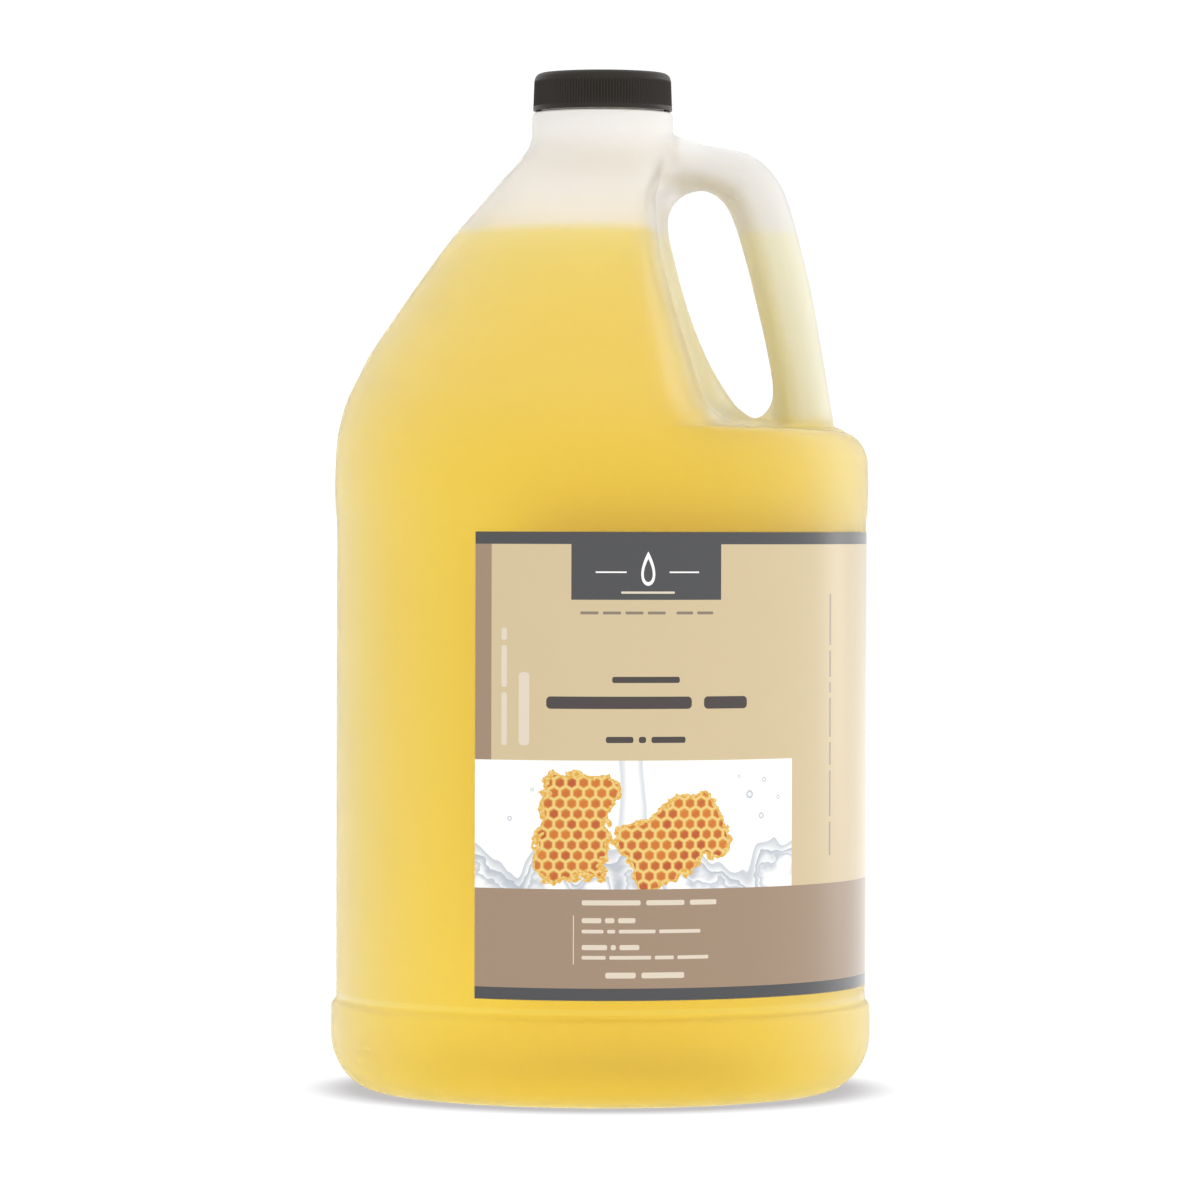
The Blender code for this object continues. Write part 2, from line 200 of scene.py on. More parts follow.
def outline_field(x, z, points):
    """Return the distance outside a closed outline in the XZ plane."""
    best = np.full(x.shape, np.inf)
    inside = np.zeros(x.shape, dtype=bool)
    for (ax, az), (bx, bz) in zip(points, np.roll(points, -1, axis=0)):
        ex, ez = bx - ax, bz - az
        t = np.clip(((x - ax) * ex + (z - az) * ez) / (ex * ex + ez * ez), 0.0, 1.0)
        best = np.minimum(best, (x - ax - t * ex) ** 2 + (z - az - t * ez) ** 2)
        if abs(ez) > 1e-9:
            inside ^= ((az > z) != (bz > z)) & (x < ax + (z - az) * ex / ez)
    return np.where(inside, -1.0, 1.0) * np.sqrt(best)


HOLE_RIM = closed_curve(HOLE, RIM_STEPS)
WEB_EDGE = np.array(WEB)


def jug_field(x, y, z, inset, with_web):
    """Return the distance outside the whole jug: body, handle and web with the finger hole."""
    field = body_field(x, y, z, inset)
    zone = (z > HANDLE_ZONE_Z) & (x > 0.0) & (np.abs(y) < HANDLE_ZONE_HALF)
    px, py, pz = x[zone], y[zone], z[zone]
    blend = HANDLE_BLEND * np.clip((FILLET_TOP - pz) / FILLET_FADE, 0.01, 1.0)
    near = smooth_min(field[zone], handle_field(px, py, pz, inset), blend)
    if with_web:
        plate = np.maximum(np.abs(py) - WEB_HALF, outline_field(px, pz, WEB_EDGE))
        near = smooth_min(near, plate, WEB_BLEND)
        near = -smooth_min(-near, outline_field(px, pz, HOLE_RIM), RIM_BLEND)
    field[zone] = near
    return field


def level_steps(*runs):
    """Return grid levels from (start, end, step) runs."""
    levels = [np.linspace(start, end, max(1, round((end - start) / step)), endpoint=False)
              for start, end, step in runs]
    return np.append(np.concatenate(levels), runs[-1][1])


def turn_at(step):
    """Return the angle of a grid step about the axis; the steps crowd together on the handle's side."""
    turn = np.asarray(step) * 2.0 * math.pi / AROUND
    return turn - HANDLE_CROWDING * np.sin(turn)


def surface_net(field, radii, heights):
    """Wrap a field's zero surface in quads on a cylindrical grid, with a vertex in each cell it crosses."""
    turns = turn_at(np.arange(AROUND))
    rr, tt, zz = np.meshgrid(radii, turns, heights, indexing="ij")
    values = field(rr * np.cos(tt), rr * np.sin(tt), zz)
    inside = values < 0.0
    wrapped = np.concatenate((inside, inside[:, :1]), axis=1)
    corners = [wrapped[i:len(radii) - 1 + i, j:AROUND + j, k:len(heights) - 1 + k]
               for i in (0, 1) for j in (0, 1) for k in (0, 1)]
    count = sum(corner.astype(np.int8) for corner in corners)
    cells = np.argwhere((count > 0) & (count < 8))
    lookup = np.full(count.shape, -1, dtype=np.int64)
    lookup[tuple(cells.T)] = np.arange(len(cells))
    total = np.zeros((len(cells), 3))
    hits = np.zeros(len(cells))
    offsets = [np.array(o) for o in np.ndindex(2, 2, 2)]
    for axis in range(3):
        for low in offsets:
            if low[axis]:
                continue
            high = low.copy()
            high[axis] = 1
            a, b = cells + low, cells + high
            va = values[a[:, 0], a[:, 1] % AROUND, a[:, 2]]
            vb = values[b[:, 0], b[:, 1] % AROUND, b[:, 2]]
            crosses = (va < 0.0) != (vb < 0.0)
            share = np.where(crosses, va / np.where(crosses, va - vb, 1.0), 0.0)
            place = np.repeat(low[None].astype(float), len(cells), axis=0)
            place[:, axis] = share
            total[crosses] += place[crosses]
            hits[crosses] += 1
    place = cells + total / hits[:, None]
    radius = np.interp(place[:, 0], np.arange(len(radii)), radii)
    turn = np.interp(place[:, 1], np.arange(AROUND + 1), turn_at(np.arange(AROUND + 1)))
    height = np.interp(place[:, 2], np.arange(len(heights)), heights)
    points = np.column_stack((radius * np.cos(turn), radius * np.sin(turn), height))
    faces = []
    for axis, (u, v) in enumerate(((1, 2), (0, 2), (0, 1))):
        edges = np.argwhere(np.diff(wrapped if axis == 1 else inside, axis=axis))
        keep = np.ones(len(edges), dtype=bool)
        for side in (u, v):
            if side != 1:
                keep &= (edges[:, side] > 0) & (edges[:, side] < inside.shape[side] - 1)
        edges = edges[keep]
        quad = []
        for du, dv in ((1, 1), (0, 1), (0, 0), (1, 0)):
            cell = edges.copy()
            cell[:, u] -= du
            cell[:, v] -= dv
            quad.append(lookup[cell[:, 0], cell[:, 1] % AROUND, cell[:, 2]])
        faces.append(np.column_stack(quad))
    return points, np.concatenate(faces), cells


MIN_STEEPNESS = 0.04


def slope_of(field, points, step=0.05):
    """Return the field's gradient at the points."""
    gradient = np.empty_like(points)
    for axis in range(3):
        ahead, behind = points.copy(), points.copy()
        ahead[:, axis] += step
        behind[:, axis] -= step
        gradient[:, axis] = (field(*ahead.T) - field(*behind.T)) / (2.0 * step)
    return gradient


def settle(field, points, rounds=3, limit=0.8):
    """Move points along the gradient onto the field's zero surface."""
    for _ in range(rounds):
        gradient = slope_of(field, points)
        steepness = np.maximum((gradient**2).sum(axis=1), MIN_STEEPNESS)
        move = -field(*points.T)[:, None] * gradient / steepness[:, None]
        length = np.linalg.norm(move, axis=1, keepdims=True)
        points = points + move * np.minimum(1.0, limit / np.maximum(length, 1e-9))
    return points


def add_piece(name, points, faces, body, material, normals=None):
    """Add a smooth-shaded mesh piece with outward faces, riding on a body."""
    mesh = bpy.data.meshes.new(name)
    corners = [tuple(int(i) for i in face) for face in faces]
    mesh.from_pydata((np.asarray(points) * MM).tolist(), [], corners)
    edit = bmesh.new()
    edit.from_mesh(mesh)
    bmesh.ops.recalc_face_normals(edit, faces=edit.faces)
    edit.to_mesh(mesh)
    edit.free()
    mesh.shade_smooth()
    if normals is not None:
        own = np.empty(len(mesh.vertices) * 3)
        mesh.vertices.foreach_get("normal", own)
        own = own.reshape(-1, 3)
        known = np.isfinite(normals[:, 0])
        own[known] = normals[known]
        mesh.normals_split_custom_set_from_vertices(own.tolist())
    mesh.materials.append(material)
    obj = bpy.data.objects.new(name, mesh)
    bpy.context.scene.collection.objects.link(obj)
    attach(obj, body)
    return obj


def ring_points(turns, reach, z):
    """Return a ring of points about the axis."""
    return np.column_stack((reach * np.cos(turns), reach * np.sin(turns), np.full(len(turns), z)))


def bridge(first, second, count):
    """Return the quads between two rings of vertex numbers."""
    return [(first[i], first[(i + 1) % count], second[(i + 1) % count], second[i]) for i in range(count)]


def net_rings(points, cells, levels):
    """Return the vertex numbers of the net's top ring and of the ring about the axis, in turn order."""
    top = np.flatnonzero(cells[:, 2] == levels - 2)
    middle = np.flatnonzero(cells[:, 0] == 0)
    top = top[np.argsort(cells[top, 1])]
    middle = middle[np.argsort(cells[middle, 1])]
    return top, middle


def thread_ridge(turns, z, direction, start_turn, length, start_z, height, foot, crest):
    """Return how far a helical thread stands off its wall at each turn of a ring at one height."""
    ridge = np.zeros_like(turns)
    for lap in range(-1, 3):
        along = turns + 2.0 * math.pi * lap - start_turn
        on_thread = (along >= 0.0) & (along <= length)
        fade = np.clip(np.minimum(along, length - along) / THREAD_FADE, 0.0, 1.0)
        off = np.abs(z - start_z - PITCH * along / (2.0 * math.pi))
        shape = np.clip((foot / 2.0 - off) / (foot / 2.0 - crest / 2.0), 0.0, 1.0)
        ridge = np.maximum(ridge, np.where(on_thread, height * ease(fade) * ease(shape), 0.0))
    return direction * ridge


# The grid's steps are fine at the foot, the pocket's shelf and the neck, and coarse on the plain side
NET_RADII = level_steps((0.65, 79.0, 1.3))
NET_HEIGHTS = level_steps((-1.6, 28.0, 0.8), (28.0, 158.0, 6.5), (158.0, 182.0, 1.0), (182.0, 194.0, 0.7),
                          (194.0, 262.0, 1.4), (262.0, NET_TOP + 0.8, 0.8))
OIL_GAP, OIL_RIM = 0.06, 1.8
OIL_HEIGHTS = np.append(NET_HEIGHTS[NET_HEIGHTS < FILL_Z - 1.0], [FILL_Z - 0.5, FILL_Z + 0.5])
# The neck as (radius, height): up to the thread, the threaded wall, and over the lip and down the bore
NECK_PROFILE = [
    (NECK_R, 276.6), (NECK_R, 277.6), (20.15, 278.3), (19.95, 278.9), (19.6, 279.25), (19.1, 279.42),
    (18.2, 279.48), (17.75, 279.6), (17.55, 279.8),
]
THREAD_PROFILE = [(ROOT_R, z) for z in np.linspace(280.0, 287.7, 36)]
LIP_PROFILE = [
    (ROOT_R, 287.85), (17.42, 288.1), (17.15, 288.28), (16.9, LIP_Z), (16.1, LIP_Z), (15.8, 288.22),
    (15.63, 288.0), (BORE_R, 287.6), (BORE_R, 284.0), (BORE_R, 281.5), (15.7, 280.5), (16.0, 279.5),
    (16.6, 278.4), (17.5, 277.2), (18.5, 276.3),
]


def wrapped_field(inset, with_web):
    """Return the jug's field for one inset, as a function of x, y and z."""
    return lambda x, y, z: jug_field(x, y, z, inset, with_web)


def make_jug(material):
    """Build the jug's moulding: outer and inner surfaces, joined over the lip of the threaded neck."""
    turns = turn_at(np.arange(AROUND) + 0.5)
    points, faces, normals = [], [], []
    rings = []
    start = 0
    for inset, with_web, side in ((0.0, True, 1.0), (WALL, False, -1.0)):
        field = wrapped_field(inset, with_web)
        part, quads, cells = surface_net(field, NET_RADII, NET_HEIGHTS)
        part = settle(field, part)
        top, middle = net_rings(part, cells, len(NET_HEIGHTS))
        part[top] = ring_points(turns, NECK_R - inset, NET_TOP)
        slope = slope_of(field, part)
        points.append(part)
        normals.append(side * slope / np.maximum(np.linalg.norm(slope, axis=1, keepdims=True), 1e-9))
        faces += (quads + start).tolist()
        faces.append((middle + start).tolist())
        rings.append(top + start)
        start += len(part)
    previous = rings[0]
    for radius, z in NECK_PROFILE + THREAD_PROFILE + LIP_PROFILE:
        stand = 0.0
        if (radius, z) in THREAD_PROFILE:
            stand = thread_ridge(turns, z, 1.0, 0.0, THREAD_TURNS * 2.0 * math.pi, THREAD_START_Z,
                                 THREAD_HEIGHT, THREAD_FOOT, THREAD_CREST)
        points.append(ring_points(turns, radius + stand, z))
        normals.append(np.full((AROUND, 3), np.nan))
        ring = np.arange(AROUND) + start
        faces += bridge(previous, ring, AROUND)
        previous = ring
        start += AROUND
    faces += bridge(previous, rings[1], AROUND)
    jug = add_piece("jug_moulding", np.concatenate(points), faces, "bottle", material,
                    np.concatenate(normals))
    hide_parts("jug")
    return jug


def make_oil(material):
    """Build the oil: it fills the body and the handle, and stands level at the fill line."""
    field = wrapped_field(WALL + OIL_GAP, False)
    points, quads, cells = surface_net(lambda x, y, z: np.maximum(field(x, y, z), z - FILL_Z), NET_RADII,
                                       OIL_HEIGHTS)
    surface = points[:, 2] > FILL_Z - 0.6
    points[~surface] = settle(field, points[~surface])
    points[surface, 2] = FILL_Z
    rim = points[surface]
    inside_rim = field(*rim.T)
    edge = inside_rim > -OIL_RIM
    flat = slope_of(field, rim)
    flat[:, 2] = 0.0
    steep = np.maximum((flat**2).sum(axis=1), MIN_STEEPNESS)
    rim[edge] -= (inside_rim[:, None] * flat / steep[:, None])[edge]
    points[surface] = rim
    middle = [np.flatnonzero((cells[:, 0] == 0) & (points[:, 2] > FILL_Z - 1.0)),
              np.flatnonzero((cells[:, 0] == 0) & (points[:, 2] < FILL_Z - 1.0))]
    faces = quads.tolist()
    for ring in middle:
        faces.append(ring[np.argsort(cells[ring, 1])].tolist())
    oil = add_piece("oil_content", points, faces, "bottle", material)
    oil.data.set_sharp_from_angle(angle=math.radians(40.0))
    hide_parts("oil_fill")
    return oil


# Cap: a ribbed skirt, a plain top and a screw thread inside
CAP_LOW, CAP_HIGH = (corner / MM for corner in np.array(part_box("cap_shell")))
CAP_FOOT_Z, CAP_TOP_Z, CAP_FOOT_R = CAP_LOW[2], CAP_HIGH[2], CAP_HIGH[0]
CAP_TOP_R, CAP_CORNER = CAP_FOOT_R - 0.4, 2.2
CAP_INNER_R, CAP_CEILING = 19.05, CAP_TOP_Z - 1.0
RIBS, RIB_STEPS, RIB_DEPTH = 140, 6, 0.32
RIB_LOW_Z, RIB_HIGH_Z = 281.1, 288.4
CAP_INNER_AROUND = RIBS * RIB_STEPS // 4
CAP_THREAD_START, CAP_THREAD_DROP = math.radians(132.0), 1.75
CAP_THREAD_HEIGHT, CAP_THREAD_FOOT, CAP_THREAD_CREST, CAP_THREAD_STEP = 1.2, 1.6, 0.7, 0.16
CAP_FLAT_R = 12.0
GATE_MARK_R, GATE_MARK_DEPTH = 1.6, 0.12


def step_down(fine, coarse):
    """Return the flat faces between a ring and a coplanar ring with a quarter of its points."""
    count = len(coarse)
    share = len(fine) // count
    faces = []
    for i in range(count):
        span = [fine[(i * share + k) % len(fine)] for k in range(share + 1)]
        faces.append([*span, coarse[(i + 1) % count], coarse[i]])
    return faces


def cap_skirt_profile():
    """Return the cap's outer profile as (radius, z, share of the ribs' depth), from the foot to the top."""
    foot = ((0.15, 0.0), (0.04, 0.05), (0.0, 0.2), (0.0, 0.95))
    profile = [(CAP_FOOT_R - back, CAP_FOOT_Z + up, 0.0) for back, up in foot]
    taper = (CAP_FOOT_R - CAP_TOP_R) / (CAP_TOP_Z - CAP_FOOT_Z)
    for z, share in ((RIB_LOW_Z, 0.0), (RIB_LOW_Z + 0.1, 0.5), (RIB_LOW_Z + 0.25, 1.0),
                     (283.0, 1.0), (285.0, 1.0), (287.0, 1.0), (RIB_HIGH_Z - 0.5, 1.0),
                     (RIB_HIGH_Z - 0.25, 0.75), (RIB_HIGH_Z, 0.3), (RIB_HIGH_Z + 0.1, 0.0)):
        profile.append((CAP_FOOT_R - taper * (z - CAP_FOOT_Z), z, share))
    for angle in np.radians(np.linspace(0.0, 90.0, 9)):
        profile.append((CAP_TOP_R - CAP_CORNER * (1.0 - math.cos(angle)),
                        CAP_TOP_Z - CAP_CORNER * (1.0 - math.sin(angle)), 0.0))
    return profile


def make_cap(material):
    """Build the cap: fine ribs outside, one turn of thread inside, and a gate mark on the top."""
    fine = np.arange(RIBS * RIB_STEPS) * 2.0 * math.pi / (RIBS * RIB_STEPS)
    coarse = np.arange(CAP_INNER_AROUND) * 2.0 * math.pi / CAP_INNER_AROUND
    valley = 0.5 + 0.5 * np.cos(fine * RIBS)
    points, rings = [], []

    def add_ring(turns, reach, z):
        start = sum(len(ring) for ring in rings)
        points.append(ring_points(turns, reach, z))
        rings.append(np.arange(len(turns)) + start)

    inner = [(CAP_INNER_R, z) for z in np.arange(CAP_FOOT_Z + 0.4, CAP_CEILING - 0.6, CAP_THREAD_STEP)]
    inner += [(CAP_INNER_R - 0.05, CAP_CEILING - 0.25), (CAP_INNER_R - 0.3, CAP_CEILING),
              (CAP_FLAT_R, CAP_CEILING), (4.0, CAP_CEILING)]
    for radius, z in reversed(inner):
        ridge = thread_ridge(coarse, z, -1.0, CAP_THREAD_START, 2.0 * math.pi,
                             THREAD_START_Z - CAP_THREAD_DROP + PITCH * CAP_THREAD_START / (2.0 * math.pi),
                             CAP_THREAD_HEIGHT, CAP_THREAD_FOOT, CAP_THREAD_CREST)
        add_ring(coarse, radius + (ridge if radius == CAP_INNER_R else 0.0), z)
    add_ring(coarse, CAP_INNER_R + 0.3, CAP_FOOT_Z)
    for radius, z, share in cap_skirt_profile():
        add_ring(fine, radius - RIB_DEPTH * share * valley, z)
    for radius, drop in ((CAP_TOP_R - CAP_CORNER - 0.6, 0.0), (CAP_FLAT_R, 0.0), (GATE_MARK_R + 0.6, 0.0),
                         (GATE_MARK_R + 0.4, 0.0), (GATE_MARK_R, GATE_MARK_DEPTH), (0.5, GATE_MARK_DEPTH)):
        add_ring(coarse, radius, CAP_TOP_Z - drop)
    faces = [rings[0].tolist(), rings[-1].tolist()]
    for first, second in zip(rings[:-1], rings[1:]):
        if len(first) == len(second):
            faces += bridge(first, second, len(first))
        else:
            faces += step_down(*sorted((first, second), key=len, reverse=True))
    cap = add_piece("cap_moulding", np.concatenate(points), faces, "cap", material)
    cap.data.set_sharp_from_angle(angle=math.radians(42.0))
    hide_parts("cap_shell")
    return cap


# Liner: a foam disc in the cap, dented by the jug's lip
LINER_LOW, LINER_HIGH = (corner / MM for corner in np.array(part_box("cap_liner")))
LINER_R, LINER_EDGE = LINER_HIGH[0], 0.12
DENT = [(17.5, 0.0), (17.2, 0.1), (16.8, 0.14), (16.1, 0.14), (15.7, 0.1), (15.4, 0.0)]


def make_liner(material):
    """Build the liner as one turned disc."""
    low, high = LINER_LOW[2], LINER_HIGH[2]
    profile = [(LINER_R - 4.0, high), (LINER_R - LINER_EDGE, high), (LINER_R, high - LINER_EDGE),
               (LINER_R, low + LINER_EDGE), (LINER_R - LINER_EDGE, low)]
    profile += [(radius, low + depth) for radius, depth in DENT] + [(LINER_R - 8.0, low)]
    turns = np.arange(CAP_INNER_AROUND) * 2.0 * math.pi / CAP_INNER_AROUND
    points = [ring_points(turns, radius, z) for radius, z in profile]
    rings = [np.arange(len(turns)) + i * len(turns) for i in range(len(profile))]
    faces = [rings[0].tolist(), rings[-1].tolist()]
    for first, second in zip(rings[:-1], rings[1:]):
        faces += bridge(first, second, len(turns))
    liner = add_piece("liner_disc", np.concatenate(points), faces, "liner", material)
    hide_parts("cap_liner")
    return liner


# Label: a film that starts left of the front and wraps round the handle's side to the back
LABEL_LOW_Z, LABEL_HIGH_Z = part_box("label")[0][2] / MM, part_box("label")[1][2] / MM
LABEL_START, LABEL_END = math.radians(-27.3), math.radians(198.7)
LABEL_R, LABEL_FILM = 75.76, 0.12
LABEL_COLUMNS = 200
LABEL_HEIGHT = LABEL_HIGH_Z - LABEL_LOW_Z
PRINT_PLACE = "print_place"


def make_label(print_material, back_material):
    """Build the label as a closed thin film; each point keeps its place on the flat print."""
    turns = np.linspace(LABEL_START, LABEL_END, LABEL_COLUMNS + 1)
    points, places = [], []
    for radius, z in ((LABEL_R + LABEL_FILM, LABEL_LOW_Z), (LABEL_R + LABEL_FILM, LABEL_HIGH_Z),
                      (LABEL_R, LABEL_HIGH_Z), (LABEL_R, LABEL_LOW_Z)):
        level = np.full(len(turns), z)
        points.append(np.column_stack((radius * np.sin(turns), -radius * np.cos(turns), level)))
        along = (turns - LABEL_START) * LABEL_R
        places.append(np.column_stack((along, level - LABEL_LOW_Z, np.zeros(len(turns)))))
    rows = [np.arange(LABEL_COLUMNS + 1) + row * (LABEL_COLUMNS + 1) for row in range(4)]
    faces = []
    for row, following in zip(rows, rows[1:] + rows[:1]):
        faces += [(row[i], row[i + 1], following[i + 1], following[i]) for i in range(LABEL_COLUMNS)]
    faces += [[row[end] for row in rows] for end in (0, -1)]
    label = add_piece("label_film", np.concatenate(points), faces, "bottle", print_material)
    label.data.set_sharp_from_angle(angle=math.radians(40.0))
    label.data.materials.append(back_material)
    for face in list(label.data.polygons)[LABEL_COLUMNS:]:
        face.material_index = 1
    kept = label.data.attributes.new(PRINT_PLACE, "FLOAT_VECTOR", "POINT")
    kept.data.foreach_set("vector", np.concatenate(places).ravel())
    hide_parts("label")
    return label


def new_material(name, color, roughness, more=()):
    """Return a material and its Principled shader, with more of its inputs set by name."""
    material = bpy.data.materials.new(name)
    material.use_nodes = True
    shader = material.node_tree.nodes["Principled BSDF"]
    shader.inputs["Base Color"].default_value = (*color, 1.0)
    shader.inputs["Roughness"].default_value = roughness
    for socket, value in dict(more).items():
        shader.inputs[socket].default_value = value
    return material, shader


class Value:
    """A number or vector in a node tree; arithmetic on it adds math nodes."""

    def __init__(self, tree, socket):
        self.tree = tree
        self.socket = socket

    def use(self, kind, operation, others, output=0):
        """Add a math node that works on this value and the others."""
        node = self.tree.nodes.new(kind)
        node.operation = operation
        for slot, value in zip(node.inputs, (self, *others)):
            feed(slot, value)
        return Value(self.tree, node.outputs[output])

    def math(self, operation, *others):
        return self.use("ShaderNodeMath", operation, others)

    def vector(self, operation, *others):
        return self.use("ShaderNodeVectorMath", operation, others)

    def length(self):
        return self.use("ShaderNodeVectorMath", "LENGTH", (), "Value")

    def __add__(self, other):
        return self.math("ADD", other)

    def __sub__(self, other):
        return self.math("SUBTRACT", other)

    def __mul__(self, other):
        return self.math("MULTIPLY", other)

    def over(self, other):
        return self.math("DIVIDE", other)

    def below(self, limit):
        return self.math("LESS_THAN", limit)

    def above(self, limit):
        return self.math("GREATER_THAN", limit)

    def ramp(self, start, end):
        """Rise smoothly from 0 at start to 1 at end."""
        node = self.tree.nodes.new("ShaderNodeMapRange")
        node.interpolation_type = "SMOOTHSTEP"
        feed(node.inputs["Value"], self)
        node.inputs["From Min"].default_value = start
        node.inputs["From Max"].default_value = end
        return Value(self.tree, node.outputs["Result"])

    def ramp_mm(self, band):
        """Rise smoothly from 0 to 1 between two places in millimetres."""
        return self.ramp(band[0] * MM, band[1] * MM)


def feed(slot, value):
    """Link a value to an input, or set the input to a plain number, colour or vector."""
    if isinstance(value, Value):
        slot.id_data.links.new(value.socket, slot)
    elif slot.type == "RGBA" and len(value) == 3:
        slot.default_value = (*value, 1.0)
    else:
        slot.default_value = value


def blend_colors(tree, share, first, second):
    """Return the first colour turning into the second as the share goes from 0 to 1."""
    mix = tree.nodes.new("ShaderNodeMix")
    mix.data_type = "RGBA"
    feed(mix.inputs[0], share)
    feed(mix.inputs[6], first)
    feed(mix.inputs[7], second)
    return Value(tree, mix.outputs[2])


def noise(tree, place, scale, detail=2.0):
    """Return a soft noise from 0 to 1."""
    node = tree.nodes.new("ShaderNodeTexNoise")
    node.inputs["Scale"].default_value = scale
    node.inputs["Detail"].default_value = detail
    feed(node.inputs["Vector"], place)
    return Value(tree, node.outputs[0])


def object_place(tree):
    """Return a point's place on the object, in metres."""
    node = tree.nodes.new("ShaderNodeTexCoord")
    return Value(tree, node.outputs["Object"])


def axes_of(place):
    """Split a vector into x, y and z."""
    split = place.tree.nodes.new("ShaderNodeSeparateXYZ")
    feed(split.inputs[0], place)
    return [Value(place.tree, output) for output in split.outputs]


def add_bump(tree, shader, height, distance):
    """Raise the surface by a height field, in metres at full height."""
    node = tree.nodes.new("ShaderNodeBump")
    node.inputs["Distance"].default_value = distance
    feed(node.inputs["Height"], height)
    tree.links.new(node.outputs["Normal"], shader.inputs["Normal"])


# Jug and oil colours; ramps run from the first height or place to the second
DRY_TINT, WET_TINT = (0.985, 0.962, 0.945), (0.975, 0.889, 0.55)
MILKY_DRY_TINT, MILKY_WET_TINT = (0.935, 0.92, 0.895), (0.945, 0.925, 0.79)
# The second colour on the next line is a painted highlight: a paler band along the base's step, where its
# ledge would catch light
HEEL_TINT, STEP_HIGHLIGHT_TINT = (1.0, 0.875, 0.26), (1.0, 0.96, 0.80)
CLOUD_TINT, CLOUD_SHARE = (0.8, 0.78, 0.72), 0.03
CLEARNESS, GRIP_CLEARNESS, NECK_CLEARNESS, SHOULDER_MILK = 0.99, 0.6, 0.35, 0.05
WALL_ROUGHNESS, WALL_IOR = 0.54, 1.21
COAT_IOR, WALL_COAT, WALL_COAT_ROUGHNESS = 1.5, 0.42, 0.3
WET_RAMP = (FILL_Z + 0.3, FILL_Z - 3.2)
THICK_RAMP = (262.0, 276.0)
SHOULDER_RAMP = (172.0, 205.0)
HEEL_RAMP = (HEEL_HEIGHT, 2.0)
# Heights where the painted highlight along the base's step fades in and out
STEP_HIGHLIGHT_LOW_RAMP, STEP_HIGHLIGHT_HIGH_RAMP = (26.2, 27.0), (28.6, 27.8)
SEAM_RAMP = (0.44, 0.22)
# The handle's milky part lies ahead of the body's face behind the finger hole, on which
# x + POCKET_LEAN * z = POCKET_FACE, above the shelf, and at its root clear of the neck
POCKET_LEAN, POCKET_FACE = 0.3, 88.8
FACE_RAMP, SHELF_RAMP = (POCKET_FACE - 3.0, POCKET_FACE + 1.0), (187.0, 194.0)
ROOT_RAMP, ROOT_END_RAMP = (20.5, 23.0), (256.0, 248.0)
OIL_ABSORPTION = (0.6, 1.95, 16.0)
OIL_DENSITY = 50.0
HAZE_TINT = (0.995, 0.985, 0.96)


def jug_material():
    """Natural polyethylene: milky, yellow where it is wet, thicker and whiter at the neck and the grip."""
    material, shader = new_material("jug_hdpe", DRY_TINT, WALL_ROUGHNESS, {
        "IOR": WALL_IOR, "Coat Weight": WALL_COAT, "Coat IOR": COAT_IOR,
        "Coat Roughness": WALL_COAT_ROUGHNESS})
    tree = material.node_tree
    place = object_place(tree)
    x, y, z = axes_of(place)
    wet = z.ramp_mm(WET_RAMP)
    grip = (x + z * POCKET_LEAN).ramp_mm(FACE_RAMP) * z.ramp_mm(SHELF_RAMP)
    grip = grip * x.ramp_mm(ROOT_RAMP).math("MAXIMUM", z.ramp_mm(ROOT_END_RAMP))
    thick = z.ramp_mm(THICK_RAMP)
    milky = grip.math("MAXIMUM", thick)
    tint = blend_colors(tree, wet, blend_colors(tree, milky, DRY_TINT, MILKY_DRY_TINT),
                        blend_colors(tree, milky, WET_TINT, MILKY_WET_TINT))
    tint = blend_colors(tree, z.ramp_mm(HEEL_RAMP), tint, HEEL_TINT)
    # Painted highlight: a paler band along the step above the base, standing in for light caught by its ledge
    step = z.ramp_mm(STEP_HIGHLIGHT_LOW_RAMP) * z.ramp_mm(STEP_HIGHLIGHT_HIGH_RAMP)
    tint = blend_colors(tree, step, tint, STEP_HIGHLIGHT_TINT)
    cloud = noise(tree, place, 35.0, 3.0)
    feed(shader.inputs["Base Color"], blend_colors(tree, cloud * CLOUD_SHARE, tint, CLOUD_TINT))
    clearness = thick * (NECK_CLEARNESS - CLEARNESS) + grip * (GRIP_CLEARNESS - CLEARNESS) + CLEARNESS
    clearness = clearness - z.ramp_mm(SHOULDER_RAMP) * SHOULDER_MILK
    feed(shader.inputs["Transmission Weight"], clearness)
    peel = noise(tree, place, 420.0, 2.0) * 0.4 + noise(tree, place, 90.0, 2.0)
    seam = y.math("ABSOLUTE").ramp_mm(SEAM_RAMP)
    add_bump(tree, shader, peel * 0.35 + seam, 0.06 * MM)
    return material


def oil_material():
    """Clear yellow oil, whose colour comes from the light that it absorbs."""
    clear = {"Transmission Weight": 1.0, "IOR": 1.0}
    material, shader = new_material("oil_yellow", (1.0, 1.0, 1.0), 0.0, clear)
    tree = material.node_tree
    haze = noise(tree, object_place(tree), 14.0, 2.0)
    feed(shader.inputs["Base Color"], blend_colors(tree, haze, (1.0, 1.0, 1.0), HAZE_TINT))
    volume = tree.nodes.new("ShaderNodeVolumeAbsorption")
    volume.inputs["Color"].default_value = (*(1.0 - part / OIL_DENSITY for part in OIL_ABSORPTION), 1.0)
    volume.inputs["Density"].default_value = OIL_DENSITY
    tree.links.new(volume.outputs["Volume"], tree.nodes["Material Output"].inputs["Volume"])
    return material


CAP_DARK, CAP_PALE, CAP_EDGE_PALE = (0.012, 0.0085, 0.0055), (0.018, 0.013, 0.009), (0.05, 0.045, 0.042)
CAP_SHINE, SKIRT_ROUGHNESS, TOP_EXTRA_ROUGHNESS = 0.28, 0.34, 0.14


